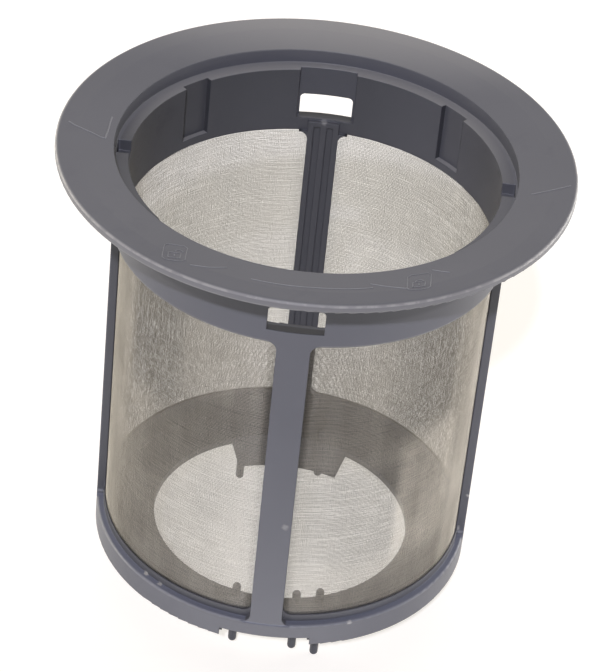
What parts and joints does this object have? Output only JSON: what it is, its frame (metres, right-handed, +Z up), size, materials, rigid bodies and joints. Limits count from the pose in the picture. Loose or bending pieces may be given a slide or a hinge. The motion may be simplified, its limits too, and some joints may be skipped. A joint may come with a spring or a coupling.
{
  "type": "dishwasher filter",
  "caption": "Cylindrical dishwasher fine filter: moulded plastic cage with a wide dished flange, round a sleeve of woven steel wire, open at top and bottom.",
  "frame": {"origin": "centre of the bounding box at its base, on the filter's axis, at the tip of the longest guide post", "axes": "+Z up along the filter's axis towards the flange; ribs stand on the X and Y axes, with the front rib on -Y"},
  "size_m": [0.1, 0.1, 0.1044],
  "materials": {
    "cage": "fine moulded satin",
    "mesh": "woven stainless wire"
  },
  "bodies": {
    "root": {"cage": "cage", "mesh_sleeve": "mesh"}
  },
  "joints": []
}
